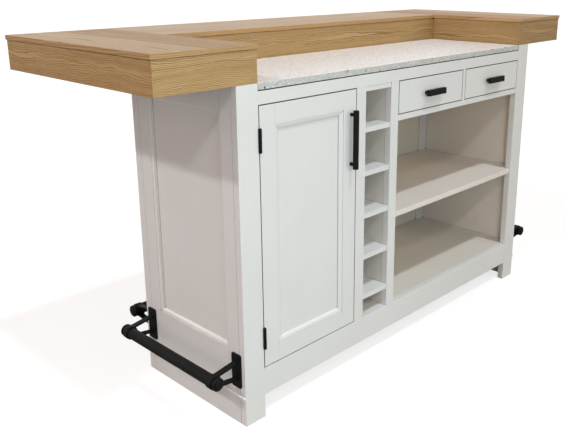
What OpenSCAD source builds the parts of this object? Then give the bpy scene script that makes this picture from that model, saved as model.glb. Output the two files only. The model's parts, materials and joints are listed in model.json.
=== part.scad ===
// Home bar island unit: a painted cabinet with one cupboard, six bottle cubbies,
// two drawers and two open shelf bays, a raised oak bar top on three sides of a
// terrazzo worktop, and black steel foot rails on both ends and along the back.
// Units are millimetres. The drawing values run from the front left corner of the
// cabinet: x to the right along the serving front, y to the guests' side, z up.
// The finished part stands on z = 0 with its bounding box centred on x = 0, y = 0.

/* [Cabinet] */
// Width of the cabinet over its corner posts
body_w = 1480; // [1400:10:1800]
// Depth of the cabinet over its corner posts
body_d = 475; // [440:5:600]
// Height of the cabinet, and of the worktop's upper face
body_h = 968; // [940:1:1000]
// Width of each corner post
post_w = 72; // [60:1:90]
// Thickness of the front posts and of the front frame
frame_t = 22; // [18:1:28]
// Thickness of the back posts
back_post_t = 30; // [26:1:40]
// Height of the toe space under the front rail
toe_h = 72; // [50:1:85]
// Height of the bottom front rail
bottom_rail_h = 84; // [60:1:100]
// Depth from the cabinet's top down to the front openings
opening_drop = 56; // [50:1:80]

/* [Front openings] */
// Width of the cupboard door's opening
door_open_w = 388; // [320:1:420]
// Width of the stile between the door and the bottle cubbies
door_stile_w = 42; // [36:1:60]
// Width of the bottle cubbies
cubby_w = 122; // [105:1:140]
// Width of the stile between the cubbies and the open bays
bay_stile_w = 38; // [34:1:60]
// Height of the two drawer openings
drawer_open_h = 109; // [95:1:130]
// Thickness of the rail under the drawers
drawer_rail_h = 19; // [16:1:30]
// Thickness of the board between the two drawers
divider_t = 16; // [12:1:24]

/* [Boards] */
// Thickness of floor, partitions, open shelf and cupboard shelf
board_t = 18; // [15:1:22]
// Thickness of the boards behind the side frames
side_board_t = 14; // [10:1:18]
// Thickness of the board behind the back frame
back_board_t = 10; // [8:1:12]
// Thickness of the planted side and back frames
planted_t = 12; // [10:1:16]
// Width of the side frames' stiles
side_stile_w = 48; // [40:1:60]
// Width of the back frame's mullions
back_mullion_w = 70; // [50:1:90]
// Height of the planted top rails
planted_top_h = 66; // [50:1:90]
// Height of the planted bottom rails
planted_bottom_h = 145; // [140:1:180]
// Open joint between the front and back boards and the side boards next to them
open_joint = 0.8; // [0.3:0.1:0.9]
// Height of the base boards
base_h = 80; // [60:1:90]
// Thickness of the base boards
base_t = 20; // [16:1:24]
// Thickness of the bottle cubby boards
cubby_board_t = 16; // [12:1:18]
// Thickness of the lining on the right of the cubbies
liner_t = 12; // [9:1:16]
// Height of the half cubby at the bottom
cubby_low_h = 62; // [40:1:90]
// Distance from one cubby board to the next
cubby_pitch = 138; // [120:1:138]
// How far shelf edges stand back from the front face
shelf_inset = 2; // [1:1:12]
// Underside of the open shelf above the bay floor
open_shelf_z = 304; // [250:1:380]
// Underside of the cupboard shelf above the floor board
cupboard_shelf_z = 364; // [250:1:450]
// How far the cupboard shelf stands back behind the front frame
cupboard_shelf_back = 38; // [30:1:120]

/* [Mouldings] */
// Width of the bevelled moulding round the side and back panels
panel_mould_w = 12; // [8:1:18]
// Height of that moulding
panel_mould_h = 9; // [6:1:9]
// Width of the moulding round the door panel
door_mould_w = 15; // [10:1:18]
// Height of the door moulding
door_mould_h = 7; // [5:1:7]
// Thickness of a moulding's thin edge
mould_edge = 3; // [1:0.5:3]
// Width of the flat top of the door moulding
mould_flat = 4; // [2:0.5:6]
// How far the base bead stands out
bead_out = 4; // [3:0.5:8]
// Height of the base bead
bead_h = 12; // [8:1:18]

/* [Door] */
// Gap round the door and the drawer fronts
front_gap = 3; // [1.5:0.5:4]
// Width of the door's stiles
leaf_stile_w = 55; // [45:1:70]
// Height of the door's rails
leaf_rail_h = 56; // [45:1:80]
// Thickness of the door panel
door_panel_t = 10; // [8:1:10]
// How far the panel lies behind the door's face
door_panel_back = 9; // [7:1:9]
// Depth of the groove that holds the panel
groove_d = 8; // [6:1:10]
// Length of a butt hinge
hinge_h = 64; // [50:1:90]
// Distance from the door's end to the middle of a hinge
hinge_inset = 91; // [70:1:130]
// Width of a hinge leaf
hinge_leaf_w = 18; // [14:1:20]
// Thickness of a hinge leaf
hinge_leaf_t = 2; // [1.5:0.5:2.5]
// Diameter of the hinge barrel
barrel_d = 8; // [7:0.5:9]
// Diameter of the hinge pin
pin_d = 4; // [3:0.5:5]
// How far the door turns
door_swing = 170; // [90:5:170]

/* [Drawers] */
// Thickness of the drawer box boards
box_t = 12; // [10:1:15]
// Thickness of the drawer bottom
box_bottom_t = 6; // [4:1:8]
// Space between a drawer box and the board behind it
box_space = 21; // [15:1:30]
// How far a drawer pulls out
drawer_travel = 330; // [200:5:330]
// Width of the drawer stop tab
tab_w = 40; // [30:1:60]

/* [Pulls] */
// How far the door pull stands out
door_pull_reach = 27; // [22:1:40]
// Width and depth of the door pull's bar
door_pull_w = 13; // [8:1:14]
// Length of the door pull
door_pull_len = 178; // [120:1:220]
// Distance between the door pull's legs
door_pull_legs = 150; // [96:1:160]
// Distance from the door's edge to the middle of its pull
door_pull_edge = 23; // [18:1:36]
// Distance from the door's top to the top of its pull
door_pull_drop = 58; // [40:1:120]
// How far a drawer pull stands out
drawer_pull_reach = 23; // [20:1:30]
// Height of a drawer pull's bar
drawer_pull_h = 20; // [10:1:24]
// Depth of a drawer pull's bar
drawer_pull_d = 11; // [6:1:12]
// Length of a drawer pull
drawer_pull_len = 99; // [90:1:160]
// Distance between a drawer pull's legs
drawer_pull_legs = 75; // [64:1:80]
// Width of a pull's legs
pull_leg_w = 9; // [6:1:10]

/* [Worktop and bar top] */
// Thickness of the worktop slab
worktop_t = 18; // [16:1:24]
// Gap at the ends of the worktop slab
worktop_gap = 2.5; // [1:0.5:3]
// How far the rear stretcher reaches under the slab
slab_bearing = 35; // [25:1:60]
// Height of the bar's edge boards
apron_h = 85.5; // [60:0.5:110]
// Thickness of the bar's edge boards
apron_t = 20; // [16:1:24]
// Thickness of the bar's top boards
bar_board_t = 13.5; // [12:0.5:28]
// How far the bar hangs over each end of the cabinet
end_overhang = 240; // [180:5:300]
// How far the bar hangs over the back of the cabinet
back_overhang = 249; // [180:1:300]
// Depth of the bar along the back
bar_strip_d = 324; // [290:1:330]
// How far the top boards stand out over the edge boards
lip = 3; // [2:0.5:10]
// Thickness of the bearers inside the bar
bearer_t = 20; // [16:1:30]

/* [Foot rails] */
// Outer diameter of the foot rail tube
rail_d = 34; // [32:1:42]
// Wall of the foot rail tube
rail_wall = 2; // [1.5:0.5:3]
// Distance from the cabinet's face to the middle of the tube
rail_out = 85; // [70:1:110]
// Height of the tube's middle above the floor
rail_z = 168; // [150:1:190]
// Width of a bracket's wall plate
plate_w = 38; // [34:1:44]
// Height of a bracket's wall plate
plate_h = 103; // [90:1:104]
// Thickness of a bracket's wall plate
plate_t = 5; // [4:1:8]
// Width of a bracket's two arms
arm_w = 18; // [10:1:24]
// Thickness of a bracket's two arms
arm_t = 6; // [4:1:8]
// Distance between the arms at the plate
arm_root_gap = 53; // [46:1:60]
// Distance between the arms at the ring
arm_ring_gap = 28; // [20:1:32]
// Wall of a bracket's ring round the tube
ring_wall = 3.5; // [2.5:0.5:6]
// Length of a bracket's ring along the tube
ring_w = 20; // [16:1:34]
// Distance from the cabinet's edge to an end bracket on the sides
side_bracket_in = 33; // [30:1:60]
// Distance from the cabinet's edge to an end bracket on the back
back_bracket_in = 22; // [20:1:60]
// How far the tube runs on past the middle of its end brackets
rail_overrun = 18; // [18:1:30]
// Length of an end cap outside the tube
cap_len = 9; // [8:1:20]
// How far an end cap stands out round the tube
cap_lip = 2; // [1:0.5:3]

/* [Fits] */
// Radial clearance between the hinge pin and its barrel
pin_clear = 0.05; // [0.02:0.01:0.08]
// Clearance of loose joints and of pieces that nearly touch
near_gap = 0.3; // [0.3:0.1:0.5]
// Radial clearance between the foot rail tube and its rings
ring_clear = 0.08; // [0.05:0.01:0.1]
// Glue line between the boards of one frame
seam = 0.2; // [0.1:0.05:0.3]

/* [Hidden] */

$fn = 48;
paint = [0.88, 0.89, 0.87];
inner_paint = [0.70, 0.68, 0.63];
oak = [0.68, 0.54, 0.36];
raw_wood = [0.80, 0.70, 0.55];
terrazzo = [0.91, 0.88, 0.85];
black_steel = [0.12, 0.12, 0.12];
steel = [0.60, 0.60, 0.62];

// Places along the front, from left to right
door_x0 = post_w;
door_x1 = door_x0 + door_open_w;
cubby_x0 = door_x1 + door_stile_w;
cubby_x1 = cubby_x0 + cubby_w;
bay_x0 = cubby_x1 + bay_stile_w;
bay_x1 = body_w - post_w;
drawer_open_w = (bay_x1 - bay_x0 - divider_t) / 2;
divider_x0 = bay_x0 + drawer_open_w;

// Heights of the front
open_z0 = toe_h + bottom_rail_h;
open_z1 = body_h - opening_drop;
drawer_z0 = open_z1 - drawer_open_h;
floor_z0 = open_z0 - board_t;
slab_z0 = body_h - worktop_t;
rail_shadow = 3;
stretcher_t = 18;
stretcher_z0 = slab_z0 - stretcher_t;

// Places from front to back
inner_y0 = frame_t;
back_post_y0 = body_d - back_post_t;
back_board_y0 = body_d - planted_t - back_board_t;
side_in = planted_t + side_board_t;
stretcher_w = 80;

// Planted frames
panel_z0 = base_h + planted_bottom_h;
panel_z1 = body_h - planted_top_h;
panel_y0 = inner_y0 + side_stile_w;
panel_y1 = back_post_y0 - side_stile_w;
back_panels = 3;
back_panel_w = (body_w - 2 * post_w - (back_panels - 1) * back_mullion_w) / back_panels;

// Bar top
bar_z0 = body_h;
bar_z1 = bar_z0 + apron_h;
bar_h = bar_z1 + bar_board_t;
bar_x0 = -end_overhang;
bar_x1 = body_w + end_overhang;
bar_y1 = body_d + back_overhang;
strip_y0 = bar_y1 - bar_strip_d;
well_x0 = post_w;
well_x1 = body_w - post_w;

// Door
leaf_x0 = door_x0 + front_gap;
leaf_x1 = door_x1 - front_gap;
leaf_z0 = open_z0 + front_gap;
leaf_z1 = open_z1 - front_gap;
sight_x0 = leaf_x0 + leaf_stile_w;
sight_x1 = leaf_x1 - leaf_stile_w;
sight_z0 = leaf_z0 + leaf_rail_h;
sight_z1 = leaf_z1 - leaf_rail_h;
pin_x = door_x0 + front_gap / 2;
pin_y = -(barrel_d / 2 + 0.5);
hinge_z = [leaf_z0 + hinge_inset, leaf_z1 - hinge_inset];
knuckles = 5;
knuckle_gap = 0.3;
knuckle_h = (hinge_h - (knuckles - 1) * knuckle_gap) / knuckles;
leaf_front = 0.3;
strike_w = 14;
strike_h = 26;
strike_t = 1.5;
catch_w = 44;
catch_h = 30;
catch_d = 18;
catch_drop = 60;

// Drawers
box_bottom_z = drawer_z0 + near_gap;
box_h = drawer_open_h - 19;
box_top_z = box_bottom_z + box_h;
kicker_w = 15;
kicker_z0 = box_top_z + 4;
stop_rail_t = 12;
box_end_y = back_board_y0 - box_space;
stop_y1 = box_end_y - drawer_travel - near_gap;
tab_t = 10;
tab_below = 40;
tab_top_z = stretcher_z0 - 7;
slot_z = box_bottom_z + 6;
slot_d = 6;
slot_clear = 0.2;
drawer_x = [bay_x0, divider_x0 + divider_t];

mitre_back = seam / sqrt(2);

// The whole part is centred on its bounding box
back_reach = bar_y1 + lip;
front_reach = -max(door_pull_reach, drawer_pull_reach);
centre_x = body_w / 2;
centre_y = (back_reach + front_reach) / 2;

module place() {
    translate([-centre_x, -centre_y, 0]) children();
}

// A plain board between two corners
module board(low, high) {
    translate(low) cube(high - low);
}

// A board of any outline in plan
module flat_board(outline, z0, z1) {
    translate([0, 0, z0]) linear_extrude(z1 - z0) polygon(outline);
}

// A length of moulding along +x, cut to 45 degrees at both ends
module mitred_strip(len, w, h, profile) {
    x0 = mitre_back;
    x1 = len - mitre_back;
    intersection() {
        rotate([90, 0, 90]) linear_extrude(len) polygon(profile);
        linear_extrude(h) polygon([[x0, 0], [x1, 0], [x1 - w, w], [x0 + w, w]]);
    }
}

// Four mitred lengths round an opening that lies in the xy plane
module mitred_frame(open_w, open_h, w, h, profile) {
    mitred_strip(open_w, w, h, profile);
    translate([open_w, 0, 0]) rotate(90) mitred_strip(open_h, w, h, profile);
    translate([open_w, open_h, 0]) rotate(180) mitred_strip(open_w, w, h, profile);
    translate([0, open_h, 0]) rotate(270) mitred_strip(open_h, w, h, profile);
}

// Two facets, the steeper one next to the panel, that leave a flat top f wide
function moulding_profile(w, h, f) = [[0, 0], [w, 0], [w, mould_edge],
    [(f + w) / 2, mould_edge + (h - mould_edge) * 0.72], [f, h], [0, h]];
panel_profile = moulding_profile(panel_mould_w, panel_mould_h, mould_edge);
door_profile = moulding_profile(door_mould_w, door_mould_h, mould_flat);

// ---- Front frame ----

module front_post_left() {
    color(paint) place() difference() {
        board([0, 0, 0], [post_w, frame_t, body_h]);
        for (z = hinge_z)
            board([post_w - hinge_leaf_t, -1, z - hinge_h / 2 - near_gap],
                [post_w + 1, hinge_leaf_w + near_gap, z + hinge_h / 2 + near_gap]);
    }
}

module front_post_right() {
    color(paint) place() board([body_w - post_w, 0, 0], [body_w, frame_t, body_h]);
}

module top_rail() {
    color(paint) place()
        board([post_w, 0, open_z1], [body_w - post_w, frame_t, slab_z0 - rail_shadow]);
}

module bottom_rail() {
    color(paint) place() board([post_w, 0, toe_h], [body_w - post_w, frame_t, open_z0]);
}

module door_side_stile() {
    color(paint) place() board([door_x1, 0, open_z0], [cubby_x0, frame_t, open_z1]);
}

module bay_side_stile() {
    color(paint) place() board([cubby_x1, 0, open_z0], [bay_x0, frame_t, open_z1]);
}

module drawer_rail() {
    color(paint) place()
        board([bay_x0, 0, drawer_z0 - drawer_rail_h], [bay_x1, frame_t, drawer_z0]);
}

// One board with its front edge showing between the drawers
module drawer_divider() {
    outline = [[0, drawer_z0], [back_board_y0, drawer_z0], [back_board_y0, stretcher_z0],
        [inner_y0, stretcher_z0], [inner_y0, open_z1], [0, open_z1]];
    color(paint) place() translate([divider_x0, 0, 0])
        rotate([90, 0, 90]) linear_extrude(divider_t) polygon(outline);
}

// ---- Back ----

module back_frame() {
    face_y = body_d - planted_t;
    color(paint) place() {
        for (x = [0, body_w - post_w])
            board([x, back_post_y0, 0], [x + post_w, body_d, body_h]);
        for (z = [[base_h, panel_z0], [panel_z1, body_h]])
            board([post_w + seam, face_y, z[0]], [body_w - post_w - seam, body_d, z[1]]);
        for (i = [1 : back_panels - 1]) {
            x = post_w + i * back_panel_w + (i - 1) * back_mullion_w;
            board([x, face_y, panel_z0 + seam], [x + back_mullion_w, body_d, panel_z1 - seam]);
        }
    }
}

module back_board() {
    color(inner_paint) place()
        board([post_w, back_board_y0, base_h], [body_w - post_w, back_board_y0 + back_board_t, body_h]);
}

// ---- Sides ----

module side_frame() {
    for (y = [[inner_y0 + open_joint, panel_y0], [panel_y1, back_post_y0 - open_joint]])
        board([0, y[0], base_h], [planted_t, y[1], body_h]);
    for (z = [[base_h, panel_z0], [panel_z1, body_h]])
        board([0, panel_y0 + seam, z[0]], [planted_t, panel_y1 - seam, z[1]]);
}

module side_board() {
    board([planted_t, inner_y0, base_h], [side_in, back_post_y0, body_h]);
}

module mirrored() {
    translate([body_w, 0, 0]) mirror([1, 0, 0]) children();
}

module side_frame_left() {
    color(paint) place() side_frame();
}

module side_frame_right() {
    color(paint) place() mirrored() side_frame();
}

module side_base() {
    board([0, inner_y0 + open_joint, 0], [base_t, back_post_y0 - open_joint, base_h]);
}

// Base boards of both sides and of the back, between the posts
module base_boards() {
    color(paint) place() {
        side_base();
        mirrored() side_base();
        board([post_w, body_d - base_t, 0], [body_w - post_w, body_d, base_h]);
    }
}

module side_board_left() {
    color(paint) place() side_board();
}

module side_board_right() {
    color(paint) place() mirrored() side_board();
}

module panel_mouldings() {
    side_w = panel_y1 - panel_y0;
    panel_h = panel_z1 - panel_z0;
    color(paint) place() {
        translate([planted_t, panel_y1, panel_z0]) rotate([90, 0, -90])
            mitred_frame(side_w, panel_h, panel_mould_w, panel_mould_h, panel_profile);
        translate([body_w - planted_t, panel_y0, panel_z0]) rotate([90, 0, 90])
            mitred_frame(side_w, panel_h, panel_mould_w, panel_mould_h, panel_profile);
        for (i = [0 : back_panels - 1]) {
            x = post_w + i * (back_panel_w + back_mullion_w) + back_panel_w;
            translate([x, body_d - planted_t, panel_z0]) rotate([90, 0, 180])
                mitred_frame(back_panel_w, panel_h, panel_mould_w, panel_mould_h, panel_profile);
        }
    }
}

// Beads that cap the base boards, mitred at the back corners
module base_beads() {
    top = bead_h;
    shoulder = bead_h - bead_out;
    section = [[0, 0], [bead_out, 0], [bead_out, shoulder], [0, top]];
    far = body_d + bead_out;
    m = mitre_back;
    end_plan = [[0, 0], [-bead_out, 0], [-bead_out, far - m], [0, body_d - m]];
    back_plan = [[m, body_d], [m - bead_out, far], [body_w + bead_out - m, far],
        [body_w - m, body_d]];
    color(paint) place() translate([0, 0, base_h]) {
        intersection() {
            translate([0, far, 0]) rotate([90, 0, 0]) linear_extrude(far)
                mirror([1, 0]) polygon(section);
            linear_extrude(bead_h) polygon(end_plan);
        }
        mirrored() intersection() {
            translate([0, far, 0]) rotate([90, 0, 0]) linear_extrude(far)
                mirror([1, 0]) polygon(section);
            linear_extrude(bead_h) polygon(end_plan);
        }
        intersection() {
            translate([-bead_out, body_d, 0]) rotate([90, 0, 90])
                linear_extrude(body_w + 2 * bead_out) polygon(section);
            linear_extrude(bead_h) polygon(back_plan);
        }
    }
}

// ---- Inside the cabinet ----

module floor_board() {
    outline = [[side_in, inner_y0], [body_w - side_in, inner_y0],
        [body_w - side_in, back_post_y0], [body_w - post_w, back_post_y0],
        [body_w - post_w, back_board_y0], [post_w, back_board_y0],
        [post_w, back_post_y0], [side_in, back_post_y0]];
    color(inner_paint) place() flat_board(outline, floor_z0, open_z0);
}

module door_partition() {
    color(inner_paint) place()
        board([cubby_x0 - board_t, inner_y0, open_z0], [cubby_x0, back_board_y0, stretcher_z0]);
}

module bay_partition() {
    color(inner_paint) place()
        board([bay_x0 - board_t, inner_y0, open_z0], [bay_x0, back_board_y0, stretcher_z0]);
}

module cubby_liner() {
    color(inner_paint) place()
        board([cubby_x1, inner_y0 + open_joint, open_z0],
            [cubby_x1 + liner_t, back_board_y0, open_z1]);
}

// Five boards between the bottles and one above them
module cubby_shelves() {
    first = open_z0 + cubby_low_h;
    undersides = concat([for (i = [0 : 4]) first + i * cubby_pitch],
        [open_z1 - cubby_board_t]);
    color(paint) place() for (z = undersides)
        board([cubby_x0, shelf_inset, z], [cubby_x1, back_board_y0, z + cubby_board_t]);
}

module open_shelf() {
    z = open_z0 + open_shelf_z;
    outline = [[bay_x0, shelf_inset], [bay_x1, shelf_inset], [bay_x1, inner_y0],
        [body_w - side_in, inner_y0], [body_w - side_in, back_post_y0],
        [body_w - post_w, back_post_y0], [body_w - post_w, back_board_y0],
        [bay_x0, back_board_y0]];
    color(inner_paint) place() flat_board(outline, z, z + board_t);
}

module cupboard_shelf() {
    z = open_z0 + cupboard_shelf_z;
    color(inner_paint) place()
        board([side_in + near_gap, inner_y0 + cupboard_shelf_back, z],
            [cubby_x0 - board_t - near_gap, back_post_y0 - near_gap, z + board_t]);
}

// Two timber cleats that carry the cupboard shelf
module cupboard_cleats() {
    cleat_w = 18;
    cleat_h = 20;
    z = open_z0 + cupboard_shelf_z;
    color(raw_wood) place() for (x = [side_in, cubby_x0 - board_t - cleat_w])
        board([x, inner_y0 + cupboard_shelf_back, z - cleat_h],
            [x + cleat_w, back_post_y0 - near_gap, z]);
}

module drawer_deck() {
    outline = [[bay_x0, inner_y0], [body_w - side_in, inner_y0],
        [body_w - side_in, back_post_y0], [body_w - post_w, back_post_y0],
        [body_w - post_w, back_board_y0], [bay_x0, back_board_y0]];
    color(raw_wood) place() flat_board(outline, drawer_z0 - board_t, drawer_z0);
}

// Kickers over the drawer sides, stop rails, closing stops and the right guide
module drawer_guides() {
    stop_w = 20;
    stop_h = 20;
    stop_side = 100;
    guide_h = 48;
    color(raw_wood) place() {
        for (x = drawer_x) {
            right = x + drawer_open_w;
            middle = x + drawer_open_w / 2;
            for (k = [x, right - kicker_w])
                board([k, inner_y0, kicker_z0], [k + kicker_w, back_post_y0, stretcher_z0]);
            board([x + kicker_w + seam, stop_y1 - stop_rail_t, kicker_z0],
                [right - kicker_w - seam, stop_y1, stretcher_z0]);
            for (s = [-1, 1])
                board([middle + s * stop_side - stop_w / 2, box_end_y + near_gap, drawer_z0],
                    [middle + s * stop_side + stop_w / 2, back_board_y0, drawer_z0 + stop_h]);
        }
        board([bay_x1, inner_y0, drawer_z0], [bay_x1 + board_t, back_post_y0, drawer_z0 + guide_h]);
    }
}

// Two boards across the cabinet that carry the worktop, and a packing strip as thick
// as the slab that carries the inner board of the bar behind it
module top_stretchers() {
    far_x = body_w - side_in;
    packing_y1 = min(strip_y0 + apron_t, back_post_y0);
    color(raw_wood) place() {
        board([side_in, inner_y0, stretcher_z0], [far_x, inner_y0 + stretcher_w, slab_z0]);
        board([side_in, strip_y0 - slab_bearing, stretcher_z0], [far_x, back_post_y0, slab_z0]);
        if (packing_y1 > strip_y0)
            board([side_in, strip_y0, slab_z0], [far_x, packing_y1, body_h]);
    }
}

// Magnetic catch on the partition behind the door's free edge
module door_catch() {
    face_x = cubby_x0 - board_t;
    y = frame_t + strike_t + near_gap;
    z = leaf_z1 - catch_drop;
    color(steel) place()
        board([face_x - catch_w, y, z - catch_h / 2], [face_x, y + catch_d, z + catch_h / 2]);
}

// ---- Worktop and bar top ----

module worktop() {
    color(terrazzo) place()
        board([well_x0 + worktop_gap, 1, slab_z0],
            [well_x1 - worktop_gap, strip_y0 - near_gap, body_h]);
}

module bar_top_left() {
    color(oak) place()
        board([bar_x0 - lip, -lip, bar_z1], [well_x0 + lip, bar_y1 + lip, bar_h]);
}

module bar_top_right() {
    color(oak) place() mirrored()
        board([bar_x0 - lip, -lip, bar_z1], [well_x0 + lip, bar_y1 + lip, bar_h]);
}

module bar_top_back() {
    color(oak) place()
        board([well_x0 + lip, strip_y0 - lip, bar_z1], [well_x1 - lip, bar_y1 + lip, bar_h]);
}

// Edge boards of one wing: outer and front ones mitred, the inner one square at the back
module wing_aprons() {
    t = apron_t;
    m = mitre_back;
    outer = [[bar_x0, m], [bar_x0 + t, t + m], [bar_x0 + t, bar_y1 - t - m],
        [bar_x0, bar_y1 - m]];
    front = [[bar_x0 + m, 0], [well_x0 - m, 0], [well_x0 - t - m, t], [bar_x0 + t + m, t]];
    inner = [[well_x0, m], [well_x0, strip_y0], [well_x0 - t, strip_y0],
        [well_x0 - t, t + m]];
    for (outline = [outer, front, inner])
        flat_board(outline, bar_z0, bar_z1);
}

module apron_left() {
    color(oak) place() wing_aprons();
}

module apron_right() {
    color(oak) place() mirrored() wing_aprons();
}

module apron_back() {
    t = apron_t;
    m = mitre_back;
    outer = [[bar_x0 + m, bar_y1], [bar_x0 + t + m, bar_y1 - t],
        [bar_x1 - t - m, bar_y1 - t], [bar_x1 - m, bar_y1]];
    inner = [[well_x0 - t, strip_y0], [well_x1 + t, strip_y0],
        [well_x1 + t, strip_y0 + t], [well_x0 - t, strip_y0 + t]];
    color(oak) place() for (outline = [outer, inner])
        flat_board(outline, bar_z0, bar_z1);
}

// Cross boards inside the bar that tie its edges to the cabinet below
module bar_bearers() {
    wing_y = [for (i = [1 : 3]) i * strip_y0 / 4];
    strip_x = [for (i = [0 : 3]) well_x0 + i * (well_x1 - well_x0 - bearer_t) / 3];
    color(raw_wood) place() {
        for (y = wing_y) {
            board([bar_x0 + apron_t, y, bar_z0], [well_x0 - apron_t, y + bearer_t, bar_z1]);
            mirrored()
                board([bar_x0 + apron_t, y, bar_z0], [well_x0 - apron_t, y + bearer_t, bar_z1]);
        }
        for (x = strip_x)
            board([x, strip_y0 + apron_t, bar_z0], [x + bearer_t, bar_y1 - apron_t, bar_z1]);
    }
}

// ---- Foot rails ----

// Where each foot rail's end brackets stand along its own wall
side_rail_y = [side_bracket_in, body_d - side_bracket_in];
back_rail_x = [back_bracket_in, body_w - back_bracket_in];

// A hollow tube along +y
module rail_tube(len) {
    rotate([-90, 0, 0]) difference() {
        cylinder(h = len, d = rail_d);
        translate([0, 0, -1]) cylinder(h = len + 2, d = rail_d - 2 * rail_wall);
    }
}

module side_tube() {
    translate([-rail_out, side_rail_y[0] - rail_overrun, rail_z])
        rail_tube(side_rail_y[1] - side_rail_y[0] + 2 * rail_overrun);
}

module foot_rail_left() {
    color(black_steel) place() side_tube();
}

module foot_rail_right() {
    color(black_steel) place() mirrored() side_tube();
}

module foot_rail_back() {
    color(black_steel) place()
        translate([back_rail_x[0] - rail_overrun, body_d + rail_out, rail_z]) rotate(-90)
            rail_tube(back_rail_x[1] - back_rail_x[0] + 2 * rail_overrun);
}

// A wall plate with clipped corners, two flat arms and the ring that holds the tube.
// The wall is the plane x = 0, the tube runs along y and z is up from the tube's middle.
module rail_bracket() {
    clip = 3;
    w = plate_w / 2;
    h = plate_h / 2;
    plate = [[-w, clip - h], [clip - w, -h], [w - clip, -h], [w, clip - h],
        [w, h - clip], [w - clip, h], [clip - w, h], [-w, h - clip]];
    run = rail_out;
    ring_bore = rail_d + 2 * ring_clear;
    fall = (arm_root_gap - arm_ring_gap) / 2;
    slope = atan2(fall, run);
    difference() {
        union() {
            rotate([90, 0, 90]) linear_extrude(plate_t) polygon(plate);
            for (s = [-1, 1])
                translate([0, -arm_w / 2, s * arm_root_gap / 2]) rotate([0, s * slope, 0])
                    translate([1, 0, -arm_t / 2]) cube([run - 1, arm_w, arm_t]);
            translate([run, ring_w / 2, 0]) rotate([90, 0, 0]) cylinder(h = ring_w, d = ring_bore + 2 * ring_wall);
        }
        translate([run, plate_w, 0]) rotate([90, 0, 0])
            cylinder(h = 2 * plate_w, d = ring_bore);
    }
}

module side_brackets() {
    for (y = side_rail_y)
        translate([0, y, rail_z]) rotate(180) rail_bracket();
}

module side_rail_brackets() {
    color(black_steel) place() {
        side_brackets();
        mirrored() side_brackets();
    }
}

module back_rail_brackets() {
    color(black_steel) place() for (x = [back_rail_x[0], body_w / 2, back_rail_x[1]])
        translate([x, body_d, rail_z]) rotate(90) rail_bracket();
}

// A stepped cap with a plug that fits inside the tube, facing +z
module end_cap() {
    r = rail_d / 2 + cap_lip;
    plug_r = rail_d / 2 - rail_wall - ring_clear;
    plug_len = 12;
    profile = [[0, -plug_len], [plug_r, -plug_len], [plug_r, 0], [r, 0],
        [r, cap_len * 0.45], [r - 2, cap_len * 0.65], [r * 0.66, cap_len * 0.65],
        [r * 0.66, cap_len * 0.85], [r * 0.56, cap_len], [0, cap_len]];
    rotate_extrude() polygon(profile);
}

module side_caps() {
    translate([-rail_out, side_rail_y[0] - rail_overrun, rail_z]) rotate([90, 0, 0]) end_cap();
    translate([-rail_out, side_rail_y[1] + rail_overrun, rail_z]) rotate([-90, 0, 0]) end_cap();
}

module rail_end_caps() {
    back_y = body_d + rail_out;
    color(black_steel) place() {
        side_caps();
        mirrored() side_caps();
        translate([back_rail_x[0] - rail_overrun, back_y, rail_z]) rotate([0, -90, 0]) end_cap();
        translate([back_rail_x[1] + rail_overrun, back_y, rail_z]) rotate([0, 90, 0]) end_cap();
    }
}

// ---- Door ----

// Barrel pieces of one leaf, counted from the bottom, with the tongues that join them
module leaf_knuckles(which, tongue_x) {
    for (i = which) {
        z = i * (knuckle_h + knuckle_gap) - hinge_h / 2;
        translate([pin_x, pin_y, z]) cylinder(h = knuckle_h, d = barrel_d);
        board([tongue_x, pin_y, z], [tongue_x + hinge_leaf_t, leaf_front, z + knuckle_h]);
    }
}

module pin_bore() {
    translate([pin_x, pin_y, -hinge_h]) cylinder(h = 2 * hinge_h, d = pin_d + 2 * pin_clear);
}

module hinge_leaf(which, leaf_x) {
    difference() {
        union() {
            board([leaf_x, leaf_front, -hinge_h / 2],
                [leaf_x + hinge_leaf_t, hinge_leaf_w, hinge_h / 2]);
            leaf_knuckles(which, leaf_x);
        }
        pin_bore();
    }
}

module hinge_post_leaves() {
    color(black_steel) place() for (z = hinge_z) translate([0, 0, z])
        hinge_leaf([0, 2, 4], door_x0 - hinge_leaf_t);
}

module hinge_door_leaves() {
    color(black_steel) place() for (z = hinge_z) translate([0, 0, z])
        hinge_leaf([1, 3], leaf_x0);
}

module hinge_pins() {
    head_d = pin_d + 3;
    head_h = 1.5;
    color(black_steel) place() for (z = hinge_z) translate([pin_x, pin_y, z]) {
        translate([0, 0, -hinge_h / 2]) cylinder(h = hinge_h, d = pin_d);
        for (s = [0, 1]) mirror([0, 0, s])
            translate([0, 0, hinge_h / 2]) cylinder(h = head_h, d1 = head_d, d2 = pin_d);
    }
}

// The groove that holds the panel, cut into the inner edges of stiles and rails
module panel_groove() {
    board([sight_x0 - groove_d, door_panel_back, sight_z0 - groove_d],
        [sight_x1 + groove_d, door_panel_back + door_panel_t, sight_z1 + groove_d]);
}

module door_stiles() {
    color(paint) place() difference() {
        for (x = [leaf_x0, sight_x1])
            board([x, 0, leaf_z0], [x + leaf_stile_w, frame_t, leaf_z1]);
        board([sight_x0 - groove_d, door_panel_back, leaf_z0 - 1],
            [sight_x1 + groove_d, door_panel_back + door_panel_t, leaf_z1 + 1]);
        for (z = hinge_z)
            board([leaf_x0 - 1, -1, z - hinge_h / 2 - near_gap],
                [leaf_x0 + hinge_leaf_t, hinge_leaf_w + near_gap, z + hinge_h / 2 + near_gap]);
    }
}

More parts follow.
